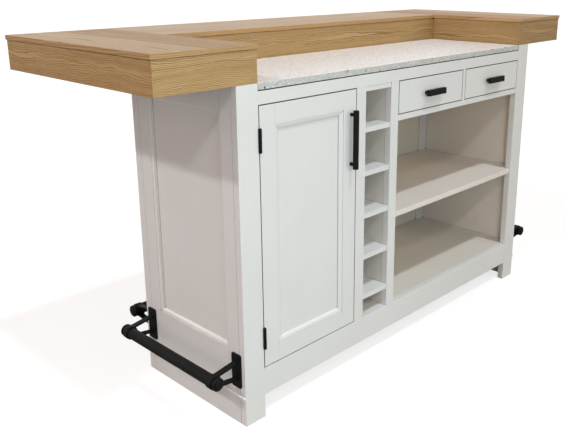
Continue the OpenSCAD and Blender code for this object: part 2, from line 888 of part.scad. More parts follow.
// Rails with stub tenons that enter the stiles' grooves
module door_rails() {
    tenon = groove_d - near_gap;
    color(paint) place() difference() {
        for (z = [leaf_z0, sight_z1]) {
            board([sight_x0, 0, z], [sight_x1, frame_t, z + leaf_rail_h]);
            board([sight_x0 - tenon, door_panel_back + slot_clear, z],
                [sight_x1 + tenon, door_panel_back + door_panel_t - slot_clear, z + leaf_rail_h]);
        }
        panel_groove();
    }
}

module door_panel() {
    grip = groove_d - 1;
    color(paint) place()
        board([sight_x0 - grip, door_panel_back, sight_z0 - grip],
            [sight_x1 + grip, door_panel_back + door_panel_t - slot_clear, sight_z1 + grip]);
}

module door_moulding() {
    color(paint) place() translate([sight_x0, door_panel_back, sight_z0]) rotate([90, 0, 0])
        mitred_frame(sight_x1 - sight_x0, sight_z1 - sight_z0, door_mould_w, door_mould_h,
            door_profile);
}

// A straight bar of w by h that stands out on two legs, its middle at x and z
module bar_pull(x, z, w, h, reach, depth, leg_centres) {
    board([x - w / 2, -reach, z - h / 2], [x + w / 2, depth - reach, z + h / 2]);
    for (c = leg_centres)
        board([c[0] - pull_leg_w / 2, depth - reach, c[1] - pull_leg_w / 2],
            [c[0] + pull_leg_w / 2, 0, c[1] + pull_leg_w / 2]);
}

module door_pull() {
    x = leaf_x1 - door_pull_edge;
    z = leaf_z1 - door_pull_drop - door_pull_len / 2;
    color(black_steel) place()
        bar_pull(x, z, door_pull_w, door_pull_len, door_pull_reach, door_pull_w,
            [for (s = [-1, 1]) [x, z + s * door_pull_legs / 2]]);
}

module door_strike() {
    x1 = leaf_x1 - 2;
    z = leaf_z1 - catch_drop;
    color(steel) place()
        board([x1 - strike_w, frame_t, z - strike_h / 2],
            [x1, frame_t + strike_t, z + strike_h / 2]);
}

// ---- Drawers ----

module drawer_front(x) {
    board([x + front_gap, 0, drawer_z0 + front_gap],
        [x + drawer_open_w - front_gap, frame_t, open_z1 - front_gap]);
}

// Two sides and a front with a slot for the bottom, a back above it, and the stop tab
module drawer_box(x) {
    x0 = x + front_gap;
    x1 = x + drawer_open_w - front_gap;
    middle = (x0 + x1) / 2;
    slot_top = slot_z + box_bottom_t + slot_clear;
    difference() {
        union() {
            for (side = [x0, x1 - box_t])
                board([side, inner_y0, box_bottom_z], [side + box_t, box_end_y, box_top_z]);
            board([x0 + box_t + seam, inner_y0, box_bottom_z],
                [x1 - box_t - seam, inner_y0 + box_t, box_top_z]);
        }
        board([x0 + box_t - slot_d, inner_y0 + box_t - slot_d, slot_z],
            [x1 - box_t + slot_d, box_end_y + 1, slot_top]);
    }
    board([x0 + box_t + seam, box_end_y - box_t, slot_top],
        [x1 - box_t - seam, box_end_y, box_top_z]);
    board([middle - tab_w / 2, box_end_y + seam, box_top_z - tab_below],
        [middle + tab_w / 2, box_end_y + seam + tab_t, tab_top_z]);
}

module drawer_bottom(x) {
    grip = slot_d - near_gap;
    x0 = x + front_gap + box_t - grip;
    x1 = x + drawer_open_w - front_gap - box_t + grip;
    board([x0, inner_y0 + box_t - grip, slot_z], [x1, box_end_y, slot_z + box_bottom_t]);
}

module drawer_pull(x) {
    middle = x + drawer_open_w / 2;
    z = (drawer_z0 + open_z1) / 2;
    bar_pull(middle, z, drawer_pull_len, drawer_pull_h, drawer_pull_reach, drawer_pull_d,
        [for (s = [-1, 1]) [middle + s * drawer_pull_legs / 2, z]]);
}

module drawer_left_front() { color(paint) place() drawer_front(drawer_x[0]); }
module drawer_left_box() { color(raw_wood) place() drawer_box(drawer_x[0]); }
module drawer_left_bottom() { color(raw_wood) place() drawer_bottom(drawer_x[0]); }
module drawer_left_pull() { color(black_steel) place() drawer_pull(drawer_x[0]); }
module drawer_right_front() { color(paint) place() drawer_front(drawer_x[1]); }
module drawer_right_box() { color(raw_wood) place() drawer_box(drawer_x[1]); }
module drawer_right_bottom() { color(raw_wood) place() drawer_bottom(drawer_x[1]); }
module drawer_right_pull() { color(black_steel) place() drawer_pull(drawer_x[1]); }

front_post_left();
front_post_right();
top_rail();
bottom_rail();
door_side_stile();
bay_side_stile();
drawer_rail();
drawer_divider();
back_frame();
back_board();
side_frame_left();
side_frame_right();
base_boards();
side_board_left();
side_board_right();
panel_mouldings();
base_beads();
floor_board();
door_partition();
bay_partition();
cubby_liner();
cubby_shelves();
open_shelf();
cupboard_shelf();
cupboard_cleats();
drawer_deck();
drawer_guides();
top_stretchers();
door_catch();
worktop();
bar_top_left();
bar_top_back();
bar_top_right();
apron_left();
apron_back();
apron_right();
bar_bearers();
foot_rail_left();
foot_rail_back();
foot_rail_right();
side_rail_brackets();
back_rail_brackets();
rail_end_caps();
hinge_post_leaves();
hinge_pins();
door_stiles();
door_rails();
door_panel();
door_moulding();
door_pull();
door_strike();
hinge_door_leaves();
drawer_left_front();
drawer_left_box();
drawer_left_bottom();
drawer_left_pull();
drawer_right_front();
drawer_right_box();
drawer_right_bottom();
drawer_right_pull();
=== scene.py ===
# %% [markdown]
# # A home bar island, dressed for its portrait
# The joinery arrives as finished solids: a painted cabinet, an oak bar on three
# sides, a terrazzo worktop and black foot rails. This lesson gives each of them
# the surface that its maker gave it, softens the edges that a hand would have
# sanded, adds the screws, and sets up the studio. The scene measures in metres.

# %% Load the cabinet
import bpy
import bmesh
import json
import math
from mathutils import Matrix, Vector

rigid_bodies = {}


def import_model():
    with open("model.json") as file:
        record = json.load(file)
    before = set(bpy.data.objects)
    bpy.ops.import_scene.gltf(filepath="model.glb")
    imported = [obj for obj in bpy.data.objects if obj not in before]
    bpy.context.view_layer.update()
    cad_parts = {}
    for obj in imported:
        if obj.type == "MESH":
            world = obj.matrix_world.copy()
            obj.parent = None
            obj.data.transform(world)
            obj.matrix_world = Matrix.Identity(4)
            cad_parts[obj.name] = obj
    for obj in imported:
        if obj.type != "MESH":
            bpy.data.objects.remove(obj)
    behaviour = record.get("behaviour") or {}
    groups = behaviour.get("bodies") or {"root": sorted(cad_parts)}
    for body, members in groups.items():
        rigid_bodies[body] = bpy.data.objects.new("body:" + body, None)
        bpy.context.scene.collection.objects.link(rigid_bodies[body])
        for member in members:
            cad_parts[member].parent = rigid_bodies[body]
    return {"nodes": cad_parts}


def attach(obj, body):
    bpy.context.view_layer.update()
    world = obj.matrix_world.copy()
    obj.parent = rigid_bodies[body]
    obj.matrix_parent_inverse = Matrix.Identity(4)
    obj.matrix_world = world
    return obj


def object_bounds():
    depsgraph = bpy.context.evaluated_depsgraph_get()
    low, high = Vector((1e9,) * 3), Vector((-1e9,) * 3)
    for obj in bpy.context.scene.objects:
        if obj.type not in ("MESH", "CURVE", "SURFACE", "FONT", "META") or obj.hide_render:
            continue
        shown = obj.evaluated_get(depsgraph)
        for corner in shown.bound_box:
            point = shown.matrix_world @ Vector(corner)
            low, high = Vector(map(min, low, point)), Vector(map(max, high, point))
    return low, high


for leftover in list(bpy.data.objects):
    bpy.data.objects.remove(leftover, do_unlink=True)
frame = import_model()
nodes = frame["nodes"]
cad_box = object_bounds()
print("cabinet pieces:", len(nodes), "box:", [tuple(round(c, 4) for c in v) for v in cad_box])

# %% [markdown]
# The shop drawing measures in millimetres from the cabinet's front left corner at
# the floor. The scene measures from the middle of the whole part, where the door
# pull stands out furthest to the front and the bar furthest to the back. Typing
# scene coordinates by hand would invite slips, so one helper turns the first into
# the second.

# %% From the drawing to the scene
CABINET_W = 1480.0  # these three are the shop drawing's, in millimetres
CABINET_D = 475.0
DOOR_PULL_REACH = 27.0
DRAWING_ORIGIN = Vector((-CABINET_W / 2000, round(cad_box[0][1], 4) + DOOR_PULL_REACH / 1000, 0.0))


def at(x, y, z):
    """A point of the shop drawing, in millimetres, as a point of the scene."""
    return DRAWING_ORIGIN + Vector((x, y, z)) / 1000


print("front left corner of the cabinet:", tuple(round(c, 3) for c in at(0, 0, 0)))

# %% [markdown]
# ## The camera
# The portrait was taken a little above the bar, off its left front corner. The
# picture was cropped after it was taken, so its middle isn't the lens's middle.
# Tilting the camera would bring the part to its place too, but would bend the
# upright posts out of true, so shift_x and shift_y slide the picture instead.

# %% Camera
CAMERA_SPOT = (-1142.6, -1371.9, 1241.8)  # on the shop drawing
LENS_MM = 46.10
LOOK_DOWN, LEAN, LOOK_RIGHT = 15.757, 0.058, 46.449  # degrees
CROP_SHIFT = (-0.0666, -0.0748)

lens = bpy.data.cameras.new("portrait_lens")
lens.sensor_width = 36.0
lens.lens = LENS_MM
lens.shift_x, lens.shift_y = CROP_SHIFT
lens.clip_start = 0.05
lens.clip_end = 200.0
camera = bpy.data.objects.new("portrait_camera", lens)
camera.location = at(*CAMERA_SPOT)
camera.rotation_euler = (math.radians(90 - LOOK_DOWN), math.radians(LEAN), math.radians(-LOOK_RIGHT))
bpy.context.scene.collection.objects.link(camera)
bpy.context.scene.camera = camera
print("camera stands at", tuple(round(c, 3) for c in camera.location))

# %% [markdown]
# ## Small tools for node trees
# A material in Blender is a graph of nodes. Written out in full, each node takes
# four or five lines, and a recipe drowns in them. A few helpers keep the recipes
# readable: one adds a node, one joins it up, and the others do the arithmetic.

# %% Nodes and arithmetic
def add_node(tree, kind, **settings):
    node = tree.nodes.new(kind)
    for name, value in settings.items():
        setattr(node, name, value)
    return node


def feed(tree, socket, value):
    """Joins an output to a socket, or sets the socket to a plain value."""
    if hasattr(value, "is_output"):
        tree.links.new(value, socket)
    else:
        socket.default_value = value


def calc(tree, operation, *values, clamp=False):
    node = add_node(tree, "ShaderNodeMath", operation=operation, use_clamp=clamp)
    for socket, value in zip(node.inputs, values):
        feed(tree, socket, value)
    return node.outputs[0]


def plus(tree, first, second):
    return calc(tree, "ADD", first, second)


def minus(tree, first, second):
    return calc(tree, "SUBTRACT", first, second)


def times(tree, first, second):
    return calc(tree, "MULTIPLY", first, second)


print("helpers for arithmetic: calc, plus, minus, times")

# %% [markdown]
# A mask needs more than arithmetic: a soft step from one value to another, cloudy
# noise around one half, and places that come apart into three numbers and are put
# together again.

# %% Steps, places and noise
def remap(tree, value, low, high, to_low=0.0, to_high=1.0):
    """A soft step: to_low up to low, to_high from high on."""
    node = add_node(tree, "ShaderNodeMapRange", interpolation_type="SMOOTHSTEP")
    for socket, v in zip(node.inputs, (value, low, high, to_low, to_high)):
        feed(tree, socket, v)
    return node.outputs[0]


def parts_of(tree, vector):
    """The three numbers of a place or a direction."""
    node = add_node(tree, "ShaderNodeSeparateXYZ")
    feed(tree, node.inputs[0], vector)
    return node.outputs


def triple(tree, x, y, z):
    node = add_node(tree, "ShaderNodeCombineXYZ")
    for socket, value in zip(node.inputs, (x, y, z)):
        feed(tree, socket, value)
    return node.outputs[0]


def clouds(tree, vector, scale, detail=2.0, roughness=0.5):
    node = add_node(tree, "ShaderNodeTexNoise", noise_dimensions="3D")
    feed(tree, node.inputs["Vector"], vector)
    feed(tree, node.inputs["Scale"], scale)
    feed(tree, node.inputs["Detail"], detail)
    feed(tree, node.inputs["Roughness"], roughness)
    return node.outputs["Fac"]


print("helpers for masks: remap, parts_of, triple, clouds")

# %% [markdown]
# ## Effects that several finishes share
# Wood grain, an uneven coat, rubbed edges and dust in the gaps turn up in more than
# one finish. Copied into each material they would drift apart, so each is a node
# group with named inputs and outputs: built once, and placed with other values.

# %% Build and place a group
def new_group(name, inputs, outputs):
    """A node group with named number inputs (name, value) and named number outputs."""
    tree = bpy.data.node_groups.new(name, "ShaderNodeTree")
    for label, value in inputs:
        socket = tree.interface.new_socket(label, in_out="INPUT", socket_type="NodeSocketFloat")
        socket.default_value = value
    for label in outputs:
        tree.interface.new_socket(label, in_out="OUTPUT", socket_type="NodeSocketFloat")
    return tree, add_node(tree, "NodeGroupInput").outputs, add_node(tree, "NodeGroupOutput").inputs


def place_group(tree, group, **values):
    node = add_node(tree, "ShaderNodeGroup", node_tree=group)
    for label, value in values.items():
        feed(tree, node.inputs[label.replace("_", " ")], value)
    return node.outputs


print("node groups so far:", len(bpy.data.node_groups))

# %% [markdown]
# ## How a board was cut from its log
# Growth rings are tubes inside the trunk. A board sawn beside the heart cuts those
# tubes at a slant, and each one shows as a long pointed arch. Arches could be
# painted as a pattern, but then they break at every edge. The group measures how
# far each point lies from the heart of the log instead: equal distances are one
# ring, so the arches come by themselves. First it needs the board's own directions.
# Upright faces run level, and flat tops run side to side, or front to back where
# the group is told so.

# %% Grain: the directions of a board
def board_directions(tree, top_turned):
    """Numbers that run along the board, across it and into it."""
    place = add_node(tree, "ShaderNodeTexCoord")
    x, y, z = parts_of(tree, place.outputs["Object"])
    face = parts_of(tree, place.outputs["Normal"])
    end_on = calc(tree, "GREATER_THAN", calc(tree, "ABSOLUTE", face[0]), 0.7)
    front_on = calc(tree, "GREATER_THAN", calc(tree, "ABSOLUTE", face[1]), 0.7)
    upright = calc(tree, "ADD", end_on, front_on, clamp=True)
    flat = minus(tree, 1.0, upright)
    turned = times(tree, flat, top_turned)
    straight = minus(tree, flat, turned)
    run_x = plus(tree, front_on, straight)
    run_y = plus(tree, end_on, turned)
    along = plus(tree, times(tree, x, run_x), times(tree, y, run_y))
    level = plus(tree, times(tree, x, turned), times(tree, y, straight))
    across = plus(tree, level, times(tree, z, upright))
    depth = plus(tree, times(tree, x, end_on), times(tree, y, front_on))
    return along, across, depth


print("a board has three directions: along, across and into the wood")

# %% [markdown]
# A top is glued up from several boards, and each is its own piece of some log. The
# number of a board, drawn through White Noise, picks its place beside the heart,
# so neighbours differ and still come out the same on each run.

# %% Grain: boards of a glued-up top
def boards_of_a_top(tree, across, depth, given):
    """A board's number, its random pick and shift, how far off the heart it is, and its joints."""
    counted = calc(tree, "DIVIDE", minus(tree, across, given["Joint At"]), given["Board Width"])
    number = calc(tree, "FLOOR", counted)
    layer = calc(tree, "ROUND", times(tree, depth, 18.0))
    chance = add_node(tree, "ShaderNodeTexWhiteNoise", noise_dimensions="3D")
    feed(tree, chance.inputs["Vector"], triple(tree, number, layer, given["Seed"]))
    pick = chance.outputs["Value"]
    shift = plus(tree, times(tree, pick, 37.0), times(tree, layer, 3.1))
    middle = minus(tree, calc(tree, "FRACT", counted), 0.5)
    off_middle = times(tree, middle, given["Board Width"])
    off_heart = plus(tree, off_middle, times(tree, minus(tree, pick, 0.5), 0.06))
    to_joint = times(tree, minus(tree, 0.5, calc(tree, "ABSOLUTE", middle)), given["Board Width"])
    joint = remap(tree, to_joint, 0.0002, 0.0008, 1.0, 0.0)
    return number, pick, shift, off_heart, joint


print("each board draws its own place in the log")

# %% [markdown]
# The log was never straight. A long bend and a short flutter push the heart aside,
# and it leans slowly out of the board. The distance to it, counted in ring gaps,
# gives the rings: each darkens quickly at its start and fades out slowly. No two
# years are alike, and the lines come and go along the board.

# %% Grain: rings round the heart
def stretched(tree, along, across, shift, along_scale, across_scale, *noise):
    """Noise that is drawn out along the board."""
    run = plus(tree, times(tree, along, along_scale), shift)
    return clouds(tree, triple(tree, run, times(tree, across, across_scale), shift), 1.0, *noise)


def heart_distance(tree, along, across, shift, pick, off_heart, given):
    bend = stretched(tree, along, across, shift, 4.5, 9.0)
    flutter = stretched(tree, along, across, shift, 20.0, 36.0)
    wander = times(tree, minus(tree, bend, 0.5), times(tree, given["Wander"], 5.0))
    small = times(tree, minus(tree, flutter, 0.5), times(tree, given["Wander"], given["Flutter"]))
    beside = plus(tree, off_heart, plus(tree, wander, small))
    behind = plus(tree, given["Heart Depth"], times(tree, plus(tree, along, pick), given["Lean"]))
    return calc(tree, "SQRT", plus(tree, times(tree, beside, beside), times(tree, behind, behind)))


def ring_lines(tree, along, across, shift, number, distance, given):
    ring = calc(tree, "DIVIDE", distance, given["Ring Gap"])
    turn = calc(tree, "FRACT", ring)
    line = times(tree, remap(tree, turn, 0.0, 0.14), remap(tree, turn, 0.26, 0.70, 1.0, 0.0))
    year = add_node(tree, "ShaderNodeTexWhiteNoise", noise_dimensions="2D")
    feed(tree, year.inputs["Vector"], triple(tree, calc(tree, "FLOOR", ring), number, 0.0))
    vigour = remap(tree, year.outputs["Value"], 0.0, 1.0, 0.55, 1.0)
    fade = remap(tree, stretched(tree, along, across, shift, 9.0, 90.0, 3.0), 0.25, 0.65, 0.50, 1.0)
    return times(tree, line, times(tree, vigour, fade))


print("rings are counted from the heart of the log")

# %% [markdown]
# Between the rings oak has open pores, drawn out into fine dashes along the board,
# and broad streaks of lighter and darker wood. The group puts its five masks out by
# name, and each recipe decides how strongly they colour the wood.

# %% Group: grain of sawn timber
def build_timber_grain():
    tree, given, out = new_group(
        "timber_grain",
        [("Ring Gap", 0.0042), ("Heart Depth", 0.03), ("Lean", 0.02), ("Wander", 0.010), ("Flutter", 0.7),
         ("Top Runs Front To Back", 0.0), ("Board Width", 0.2), ("Joint At", 0.0), ("Seed", 0.0)],
        ["Rings", "Pores", "Streaks", "Board Tone", "Joint"])
    along, across, depth = board_directions(tree, given["Top Runs Front To Back"])
    number, pick, shift, off_heart, joint = boards_of_a_top(tree, across, depth, given)
    distance = heart_distance(tree, along, across, shift, pick, off_heart, given)
    feed(tree, out["Rings"], ring_lines(tree, along, across, shift, number, distance, given))
    dashes = triple(tree, times(tree, along, 30.0), times(tree, across, 700.0), times(tree, depth, 300.0))
    feed(tree, out["Pores"], remap(tree, clouds(tree, dashes, 1.0, 2.0, 0.6), 0.52, 0.72))
    streaks = stretched(tree, along, across, shift, 1.8, 40.0, 3.0, 0.6)
    feed(tree, out["Streaks"], remap(tree, streaks, 0.3, 0.7))
    feed(tree, out["Board Tone"], pick)
    feed(tree, out["Joint"], joint)
    return tree


timber_grain = build_timber_grain()
print("timber_grain:", len(timber_grain.nodes), "nodes")

# %% [markdown]
# ## What a sprayed or brushed coat looks like close to
# A coat is never quite even. It pools a little, it shows the faint lines of what is
# below, and it has a skin like fine orange peel. One group makes these three, and
# the white paint, the creamier inside, whose cream is painted shade, and the black
# coating each take what they need.

# %% Group: unevenness of a coat
def build_coat_film():
    tree, given, out = new_group(
        "coat_film", [("Pooling Size", 3.0), ("Peel Size", 900.0), ("Line Size", 260.0)],
        ["Pooling", "Lines", "Peel"])
    spot = add_node(tree, "ShaderNodeTexCoord").outputs["Object"]
    x, y, z = parts_of(tree, spot)
    feed(tree, out["Pooling"], remap(tree, clouds(tree, spot, given["Pooling Size"], 4.0, 0.6), 0.3, 0.7))
    upright = triple(tree, plus(tree, x, y), 0.0, times(tree, z, 0.05))
    feed(tree, out["Lines"], clouds(tree, upright, given["Line Size"], 2.0, 0.6))
    feed(tree, out["Peel"], clouds(tree, spot, given["Peel Size"], 2.0))
    return tree


coat_film = build_coat_film()
print("coat_film:", len(coat_film.nodes), "nodes")

# %% [markdown]
# ## Where hands and shoes rub
# Edges lose their coat first. Painting wear by hand would have to be done again for
# each piece. The Bevel node gives the direction that a slightly rounded edge would
# have: where that differs from the true direction there is an edge, and the
# difference is a mask for wear that fits any shape.

# %% Group: rubbed edges
def build_rubbed_edges():
    tree, given, out = new_group("rubbed_edges", [("Reach", 0.002), ("Patchiness", 30.0)], ["Mask"])
    rounded = add_node(tree, "ShaderNodeBevel", samples=4)
    feed(tree, rounded.inputs["Radius"], given["Reach"])
    true_face = add_node(tree, "ShaderNodeNewGeometry")
    dot = add_node(tree, "ShaderNodeVectorMath", operation="DOT_PRODUCT")
    feed(tree, dot.inputs[0], rounded.outputs[0])
    feed(tree, dot.inputs[1], true_face.outputs["True Normal"])
    edge = remap(tree, minus(tree, 1.0, dot.outputs["Value"]), 0.02, 0.25)
    spot = add_node(tree, "ShaderNodeTexCoord").outputs["Object"]
    patches = remap(tree, clouds(tree, spot, given["Patchiness"], 3.0), 0.35, 0.65)
    feed(tree, out["Mask"], times(tree, edge, patches))
    return tree


rubbed_edges = build_rubbed_edges()
print("rubbed_edges:", len(rubbed_edges.nodes), "nodes")

# %% [markdown]
# ## Painted shade in the gaps
# Around a door, under a slab and along a frame joint shade falls, and it is painted into the colour.
# Those places have little sky above them, which is what the Ambient Occlusion node
# measures: it looks a few millimetres around each point and tells how open it is.
# One mask is for the deep gaps, one for inner corners, and one for the line below a
# lip. They differ only in how closed a place must be before they show.

# %% Group: crevices
def build_crevice_shade():
    tree, given, out = new_group("crevice_shade", [("Reach", 0.010)], ["Gaps", "Corners", "Lips"])
    sky_seen = add_node(tree, "ShaderNodeAmbientOcclusion", samples=8, only_local=False)
    feed(tree, sky_seen.inputs["Distance"], given["Reach"])
    for label, closed, open_sky in (("Gaps", 0.30, 0.52), ("Corners", 0.40, 0.72), ("Lips", 0.55, 0.92)):
        feed(tree, out[label], remap(tree, sky_seen.outputs["AO"], closed, open_sky, 1.0, 0.0))
    return tree


crevice_shade = build_crevice_shade()
print("crevices:", len(crevice_shade.nodes), "nodes")

# %% [markdown]
# ## Colours as the eye names them
# Colours are given as screen values from 0 to 255. Blender works with
# light itself, so each one is unrolled from the screen's curve before it is used.
# A mask then lays one colour over another, or turns into relief as a leaning
# normal, which costs no faces.

# %% Colours, relief and new materials
def screen(r, g, b):
    def unroll(c):
        c = c / 255
        return c / 12.92 if c <= 0.04045 else ((c + 0.055) / 1.055) ** 2.4
    return (unroll(r), unroll(g), unroll(b), 1.0)


def blend_colour(tree, amount, first, second):
    node = add_node(tree, "ShaderNodeMix", data_type="RGBA", clamp_factor=True)
    feed(tree, node.inputs["Factor"], amount)
    feed(tree, node.inputs[6], first)
    feed(tree, node.inputs[7], second)
    return node.outputs[2]


def relief(tree, height, strength, distance):
    node = add_node(tree, "ShaderNodeBump")
    feed(tree, node.inputs["Height"], height)
    node.inputs["Strength"].default_value = strength
    node.inputs["Distance"].default_value = distance
    return node.outputs["Normal"]


def new_material(name):
    material = bpy.data.materials.new(name)
    material.use_nodes = True
    tree = material.node_tree
    return material, tree, tree.nodes["Principled BSDF"]


print("screen grey 128 is", round(screen(128, 128, 128)[0], 3), "of full light")

# %% [markdown]
# ## Oak
# The bar is oiled oak: a yellow-brown wood with darker rings and fine open pores,
# and hardly any gloss. One plank recipe serves all of it. The colour is built up as
# the eye reads it: streaks and the tone of each board, then rings, pores and glue
# lines on top. Two things are given only where a board has them: the outer board of
# a wing is lighter, partly by its own tone and partly by a painted sheen, and the sawn
# edge of a top is warmer than its face, whose pale tones on the back top are a painted sheen.

# %% Oak: the colour of a board
TONE_SHARE, OUTER_SHEEN_SHARE, PORE_SHARE, JOINT_SHARE = 0.7, 0.6, 0.35, 0.6


def oak_colour(tree, grain, wood, ring_strength, outer_from):
    place = add_node(tree, "ShaderNodeTexCoord")
    light, middle, dark = (screen(*wood[tone]) for tone in ("light", "middle", "dark"))
    warm = blend_colour(tree, grain["Streaks"], light, middle)
    warm = blend_colour(tree, times(tree, grain["Board Tone"], TONE_SHARE), warm, middle)
    # painted sheen, partly the board's own tone: the outer board of a wing is lightened
    if outer_from:
        from_middle = calc(tree, "ABSOLUTE", parts_of(tree, place.outputs["Object"])[0])
        outer = calc(tree, "GREATER_THAN", from_middle, outer_from)
        warm = blend_colour(tree, times(tree, outer, OUTER_SHEEN_SHARE), warm, light)
    if "sawn" in wood:
        level = calc(tree, "ABSOLUTE", parts_of(tree, place.outputs["Normal"])[2])
        warm = blend_colour(tree, remap(tree, level, 0.3, 0.6, 1.0, 0.0), warm, screen(*wood["sawn"]))
    ringed = blend_colour(tree, times(tree, grain["Rings"], ring_strength), warm, dark)
    pored = blend_colour(tree, times(tree, grain["Pores"], PORE_SHARE), ringed, dark)
    return blend_colour(tree, times(tree, grain["Joint"], JOINT_SHARE), pored, dark)


print("oak is coloured by streaks, board tone, rings, pores and glue lines")

# %% [markdown]
# The edge boards stand under the lip of the tops, and a painted shade darkens the
# wood right below that lip. The crevice mask alone would darken every other corner of
# the boards too, so it counts only near the height of the lip. The rings, pores and
# glue lines that colour the oak also sink into it a little, so that they catch the light.

# %% Oak: the whole recipe
LIP_SHADE = screen(84, 58, 30)
LIP_FADE = (0.008, 0.003)  # how far below the lip the shade begins, and is full


def darken_below(tree, colour, lip_at):
    # painted shade: the lip mask darkens the wood just below the lip
    painted_shade = place_group(tree, crevice_shade, Reach=0.009)
    height = parts_of(tree, add_node(tree, "ShaderNodeTexCoord").outputs["Object"])[2]
    near_lip = remap(tree, height, *(lip_at - below for below in LIP_FADE))
    return blend_colour(tree, times(tree, painted_shade["Lips"], near_lip), colour, LIP_SHADE)


def oak(name, wood, ring_strength, roughness, outer_from=None, lip_at=None, **cut):
    material, tree, shader = new_material(name)
    grain = place_group(tree, timber_grain, **cut)
    colour = oak_colour(tree, grain, wood, ring_strength, outer_from)
    if lip_at:
        colour = darken_below(tree, colour, lip_at)
    feed(tree, shader.inputs["Base Color"], colour)
    shader.inputs["Specular IOR Level"].default_value = 0.28
    feed(tree, shader.inputs["Roughness"], remap(tree, grain["Pores"], 0.0, 1.0, roughness, roughness + 0.15))
    hollows = plus(tree, times(tree, grain["Rings"], 0.6), times(tree, grain["Pores"], 0.8))
    hollows = plus(tree, hollows, grain["Joint"])
    feed(tree, shader.inputs["Normal"], relief(tree, minus(tree, 2.0, hollows), 0.15, 0.0004))
    return material


print("oak shows its lip shade from", LIP_FADE[0], "m below a lip")

# %% [markdown]
# ## The planks of this bar
# The edge boards are one plank high. They were sawn close to the heart, so their
# rings stand close and bold, and the glue lines of the grain group are put just
# outside the plank. Each of the three comes from a plank of its own tone. Where the
# bar ends is read off the cabinet's box, so the boards follow it.

# %% Oak of the edge boards
BAR_END, BAR_BACK, BAR_TOP = (round(c, 4) for c in cad_box[1])
LIP_AT = BAR_TOP - 0.0135  # the tops are 13.5 mm thick
EDGE_BOARD_W = 0.090
EDGE_WOOD = {"light": (199, 166, 116), "middle": (186, 152, 102), "dark": (120, 88, 48)}
EDGE_CUT = {"Ring_Gap": 0.0040, "Heart_Depth": 0.006, "Lean": 0.008, "Wander": 0.010, "Flutter": 1.2,
            "Board_Width": EDGE_BOARD_W, "Joint_At": LIP_AT + 0.001 - EDGE_BOARD_W}


def edge_oak(name, tone, seed):
    """An edge board, tone being how light that plank is beside the first."""
    wood = {label: tuple(c * tone for c in colour) for label, colour in EDGE_WOOD.items()}
    return oak(name, wood, 0.85, 0.50, lip_at=LIP_AT, Seed=seed, **EDGE_CUT)


oak_edge_left = edge_oak("oak_left_edge_boards", 1.0, 3.0)
oak_edge_back = edge_oak("oak_back_edge_boards", 0.94, 4.0)
oak_edge_right = edge_oak("oak_right_edge_boards", 0.92, 8.0)
print("edge boards from 3 planks, below a lip at", round(LIP_AT, 4))

# %% [markdown]
# The tops are glued up from wide boards, sawn further from the heart, so their rings
# are wider and calmer. On the wings the boards run front to back, and on the long
# back top they run side to side. One joint is placed a board's width in from the
# bar's edge, and the others follow from it.

# %% Oak of the tops
TOP_CUT = {"Ring_Gap": 0.0052, "Heart_Depth": 0.040, "Lean": 0.015, "Wander": 0.008}
WING_WOOD = {"light": (193, 168, 134), "middle": (158, 124, 80), "dark": (118, 86, 48),
             "sawn": (190, 154, 106)}
# the back top's pale light and middle tones are a painted sheen; its sawn tone is the wood's own
BACK_WOOD_AND_SHEEN = {"light": (203, 184, 158), "middle": (184, 158, 126), "dark": (134, 102, 64),
             "sawn": (186, 148, 100)}
WING_BOARD_W, BACK_BOARD_W = 0.159, 0.165
WING_JOINT, BACK_JOINT = BAR_END - WING_BOARD_W, BAR_BACK - BACK_BOARD_W


def wing_oak(name, joint_at, seed):
    return oak(name, WING_WOOD, 0.55, 0.50, outer_from=WING_JOINT, Top_Runs_Front_To_Back=1.0,
               Board_Width=WING_BOARD_W, Joint_At=joint_at, Seed=seed, **TOP_CUT)


oak_left = wing_oak("oak_left_wing_top", -WING_JOINT, 5.0)
oak_right = wing_oak("oak_right_wing_top", WING_JOINT, 7.0)
oak_long = oak("oak_back_top", BACK_WOOD_AND_SHEEN, 0.50, 0.50, Board_Width=BACK_BOARD_W, Joint_At=BACK_JOINT,
               Seed=9.0, **TOP_CUT)
print("wing joint at", round(WING_JOINT, 4), "and back joint at", round(BACK_JOINT, 4))

# %% [markdown]
# ## Planed softwood for what nobody sees
# Drawer boxes, runners and cross boards are plain softwood. It could be one flat
# colour, but a drawer is opened often enough to be looked into. The oak recipe
# with wide, pale rings and a deep heart gives straight, calm boards.

# %% Material: softwood
SOFT_WOOD = {"light": (222, 196, 150), "middle": (208, 178, 128), "dark": (184, 146, 96)}
softwood = oak("planed_softwood", SOFT_WOOD, 0.45, 0.55, Ring_Gap=0.009, Heart_Depth=0.12,
               Lean=0.020, Wander=0.008, Board_Width=0.30, Seed=12.0)
print("softwood:", len(softwood.node_tree.nodes), "nodes around the shared grain")

# %% [markdown]
# ## Paint
# The cabinet is painted a cool off-white with a soft sheen. The lines of the wood
# come faintly through the coat, it pools a little darker here and there, and painted
# shade darkens its corners and gaps. Some pieces show painted light and shade in two
# tones: a face takes a painted highlight or a painted shade by the way it looks.
# Cutting them in two would work, but the way a face looks tells the tones apart
# without a new piece.

# %% Material: paint
CORNER_SHADE = screen(160, 155, 147)
# painted shade: the tones laid into inner corners and into gaps
GAP_SHADE = screen(40, 37, 33)


def facing(tree, direction):
    """How far a face looks in a direction: 1 straight at it, 0 across it."""
    place = add_node(tree, "ShaderNodeTexCoord")
    node = add_node(tree, "ShaderNodeVectorMath", operation="DOT_PRODUCT")
    feed(tree, node.inputs[0], place.outputs["Normal"])
    feed(tree, node.inputs[1], direction)
    return node.outputs["Value"]


